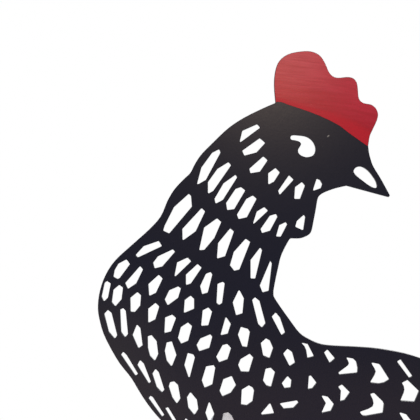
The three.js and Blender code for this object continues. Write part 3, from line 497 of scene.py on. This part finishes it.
def turned_mesh(name, rings, holed=False):
    """A closed mesh through these rings: either the last one meets the first, or both ends are capped."""
    shape = bmesh.new()
    rows = [[shape.verts.new(point) for point in points] for points in rings]
    following = rows[1:] + rows[:1] if holed else rows[1:]
    for lower, upper in zip(rows, following):
        for i in range(ROUND_STEPS):
            shape.faces.new((lower[i - 1], lower[i], upper[i], upper[i - 1]))
    if not holed:
        shape.faces.new(list(reversed(rows[0])))
        shape.faces.new(rows[-1])
    mesh = bpy.data.meshes.new(name)
    shape.to_mesh(mesh)
    shape.free()
    mesh.shade_smooth()
    mesh.set_sharp_from_angle(angle=CREASE_ANGLE)
    return mesh


def hexagon(corner_radius):
    """Radius of a hexagon with a corner on the X axis, by the angle round it."""
    flat_radius = corner_radius * math.cos(SIXTH_TURN / 2)
    return lambda angle: flat_radius / math.cos(angle % SIXTH_TURN - SIXTH_TURN / 2)


def socket_rings():
    """Hexagon socket, from its floor to the face of the screw's head at height 0."""
    return [ring(hexagon(SOCKET_RADIUS), SOCKET_DEPTH), ring(hexagon(SOCKET_RADIUS), 0)]


def thread_rings(start, end):
    """Thread from the screw's head to its chamfered end."""
    def radius_at(height):
        def radius(angle):
            turn = (height / THREAD_PITCH - angle / (2 * math.pi)) % 1
            depth = (abs(2 * turn - 1) - THREAD_CREST) / THREAD_FLANK
            threaded = SCREW_RADIUS - THREAD_DEPTH * min(max(depth, 0), 1)
            return min(threaded, SCREW_END_RADIUS + end - height)
        return radius

    steps = round((end - start) / THREAD_PITCH * THREAD_STEPS)
    heights = [start + (end - start) * i / steps for i in range(1, steps + 1)]
    return [ring(SCREW_RADIUS, start)] + [ring(radius_at(height), height) for height in heights]


def button_screw(name, radius, length):
    """Screw with a domed head, whose face is at height 0."""
    rings = socket_rings()
    rings += quarter_round(radius, radius / 2, BUTTON_HEAD_HEIGHT * BUTTON_HEAD_DOME)
    rings += [ring(radius, BUTTON_HEAD_HEIGHT - SMALL_EDGE), ring(radius - SMALL_EDGE, BUTTON_HEAD_HEIGHT)]
    return turned_mesh(name, rings + thread_rings(BUTTON_HEAD_HEIGHT, length))


def flat_screw(name, radius, length):
    """Countersunk screw, whose head has its face at height 0."""
    rings = socket_rings()
    rings += [ring(radius - SMALL_EDGE, 0), ring(radius, SMALL_EDGE), ring(radius, FLAT_HEAD_RIM)]
    return turned_mesh(name, rings + thread_rings(FLAT_HEAD_RIM + radius - SCREW_RADIUS, length))


def washer(name, radius, thickness):
    """Stamped washer, rounder at its rim than in its hole."""
    hole = SCREW_RADIUS + SCREW_CLEARANCE
    rings = [
        ring(radius - 2 * SMALL_EDGE, 0), ring(radius, SMALL_EDGE), ring(radius, thickness - SMALL_EDGE),
        ring(radius - 2 * SMALL_EDGE, thickness), ring(hole + SMALL_EDGE, thickness),
        ring(hole, thickness - SMALL_EDGE), ring(hole, SMALL_EDGE), ring(hole + SMALL_EDGE, 0),
    ]
    return turned_mesh(name, rings, holed=True)


def nut(name, radius, height):
    """Hexagon nut, chamfered on both faces and countersunk at both ends of its thread."""
    corner = hexagon(radius)
    face_radius = corner(SIXTH_TURN / 2) * NUT_FACE
    sink = SCREW_RADIUS + THREAD_DEPTH

    def chamfer(angle):
        return (corner(angle) - face_radius) * NUT_CHAMFER_SLOPE

    rings = [
        ring(face_radius, 0), ring(corner, chamfer), ring(corner, lambda angle: height - chamfer(angle)),
        ring(face_radius, height), ring(sink, height), ring(SCREW_RADIUS, height - THREAD_DEPTH),
        ring(SCREW_RADIUS, THREAD_DEPTH), ring(sink, 0),
    ]
    return turned_mesh(name, rings, holed=True)


def pad(name, radius, height):
    """Moulded pad with a groove in its underside and a round lower edge."""
    depth = PAD_GROOVE_DEPTH
    rings = [
        ring(PAD_GROOVE_INNER, 0), ring(PAD_GROOVE_INNER + depth, depth),
        ring(PAD_GROOVE_OUTER - depth, depth), ring(PAD_GROOVE_OUTER, 0),
    ]
    rings += quarter_round(radius, PAD_ROUND, PAD_ROUND)
    rings += [ring(radius, height - 2 * SMALL_EDGE), ring(radius - 2 * SMALL_EDGE, height)]
    return turned_mesh(name, rings)


def make_turned(maker, node, axis, material):
    """A turned piece for a node, along this axis from the node's lower end."""
    low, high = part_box(node)
    middle = (low + high) / 2
    name = node + "_turned"
    radius = (high.x - low.x) / 2
    if axis == "Y":
        mesh = maker(name, radius, high.y - low.y)
        mesh.transform(Matrix.Rotation(-math.pi / 2, 4, "X"))
        mesh.transform(Matrix.Translation((middle.x, low.y, middle.z)))
    else:
        mesh = maker(name, radius, high.z - low.z)
        mesh.transform(Matrix.Translation((middle.x, middle.y, low.z)))
    stand_for(add_piece(name, mesh), node, material)


def make_hardware():
    """Screws, washers, nuts and pads, in place of the plain ones."""
    steel = black_steel()
    zinc = zinc_plate("bright_zinc", (0.40, 0.41, 0.43), (0.50, 0.51, 0.53), 0.28, 0.38)
    rubber = pad_rubber()
    for side in ("left", "right"):
        make_turned(button_screw, side + "_stay_screw", "Y", steel)
        make_turned(washer, side + "_stay_washer", "Y", zinc)
        make_turned(nut, side + "_stay_nut", "Y", zinc)
        make_turned(flat_screw, side + "_foot_screw", "Z", steel)
        make_turned(washer, side + "_foot_washer", "Z", zinc)
        make_turned(nut, side + "_foot_nut", "Z", zinc)
        for end in ("front", "rear"):
            make_turned(pad, f"{end}_{side}_pad", "Z", rubber)


def dress_nodes():
    """Materials and edges of the pieces that stay as they come from the frame."""
    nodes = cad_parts
    dress(nodes["comb_paint_front"], red_enamel())
    soften(nodes["comb_paint_front"], PAINT_FILM_EDGE)
    dress(nodes["base_plate"], black_coat("plate_coat", 0.42, 0.54, 0.5))
    soften(nodes["base_plate"], PLATE_EDGE)
    zinc = zinc_plate("dull_zinc", (0.285, 0.324, 0.382), (0.365, 0.41, 0.475), 0.42, 0.52)
    for side in ("left", "right"):
        dress(nodes[side + "_stay"], zinc)
        soften(nodes[side + "_stay"], STAY_EDGE)


def seen_directly(tree):
    """1 for what is seen straight on, mirrored or through glass, and 0 for light that falls on things."""
    path = add(tree, "LightPath").outputs
    seen = maths(tree, "MAXIMUM", path["Is Camera Ray"], path["Is Glossy Ray"])
    return maths(tree, "MAXIMUM", seen, path["Is Transmission Ray"])


def make_floor():
    """A pale round floor that renders white where no shadow falls on it, through a painted glow that is
    weaker under the object, as painted shade there.
    """
    mesh = bpy.data.meshes.new("floor")
    shape = bmesh.new()
    bmesh.ops.create_circle(shape, cap_ends=True, segments=FLOOR_STEPS, radius=FLOOR_RADIUS)
    shape.to_mesh(mesh)
    shape.free()
    floor = add_piece("floor", mesh)
    material, tree, shader = new_material("pale_floor")
    shader.inputs["Base Color"].default_value = (0.82, 0.82, 0.81, 1)
    shader.inputs["Roughness"].default_value = 0.9
    shader.inputs["Specular IOR Level"].default_value = 0.1
    reach = add(tree, "VectorMath", {0: place(tree)}, operation="LENGTH").outputs["Value"]
    # Painted glow, weaker near the middle, so that the floor looks darker under the object and white at its
    # edge
    glow = ramp(tree, reach, *FLOOR_GLOW, FLOOR_RADIUS / 3, FLOOR_RADIUS)
    tree.links.new(maths(tree, "MULTIPLY", seen_directly(tree), glow), shader.inputs["Emission Strength"])
    shader.inputs["Emission Color"].default_value = (1, 1, 1, 1)
    dress(floor, material)


def make_world():
    """A background that shows white and lights the part softly."""
    world = bpy.data.worlds.new("studio")
    world.use_nodes = True
    tree = world.node_tree
    background = tree.nodes["Background"]
    seen = seen_directly(tree)
    tree.links.new(blend(tree, seen, WORLD_COLOUR, (1.0, 1.0, 1.0)), background.inputs["Color"])
    tree.links.new(ramp(tree, seen, WORLD_LIGHT, 1.0), background.inputs["Strength"])
    bpy.context.scene.world = world


def make_panel(name, size, power, colour, at, aim):
    """A soft rectangular lamp that doesn't show itself."""
    light = bpy.data.lights.new(name, "AREA")
    light.shape = "RECTANGLE"
    light.size, light.size_y = size
    light.energy = power
    light.color = colour
    panel = bpy.data.objects.new(name, light)
    panel.location = at
    panel.rotation_euler = (aim - at).to_track_quat("-Z", "Y").to_euler()
    panel.visible_camera = False
    bpy.context.scene.collection.objects.link(panel)


def make_camera():
    """The camera that takes in the picture's width of the sheet's front."""
    camera = bpy.data.cameras.new("camera")
    camera.angle = 2 * math.atan(PICTURE_WIDTH / 2 / CAMERA_DISTANCE)
    camera.clip_start = 10 * MM
    holder = bpy.data.objects.new("camera", camera)
    front_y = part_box("hen_plate")[0].y
    holder.location = (PICTURE_CENTRE_X, front_y - CAMERA_DISTANCE, PICTURE_CENTRE_Z)
    holder.rotation_euler = (math.pi / 2, 0, 0)
    bpy.context.scene.collection.objects.link(holder)
    bpy.context.scene.camera = holder


make_camera()
make_hen()
make_hardware()
dress_nodes()
make_floor()
make_world()
make_panel("key_panel", KEY_SIZE, KEY_POWER, KEY_COLOUR, KEY_PLACE, KEY_AIM)
make_panel("left_card", LEFT_CARD_SIZE, LEFT_CARD_POWER, LEFT_CARD_COLOUR, LEFT_CARD_PLACE, LEFT_CARD_AIM)
make_panel("front_card", FRONT_CARD_SIZE, FRONT_CARD_POWER, FRONT_CARD_COLOUR, FRONT_CARD_PLACE,
           FRONT_CARD_AIM)
make_panel("back_panel", BACK_PANEL_SIZE, BACK_PANEL_POWER, BACK_PANEL_COLOUR, BACK_PANEL_PLACE,
           BACK_PANEL_AIM)
bpy.context.scene.view_settings.view_transform = "Standard"
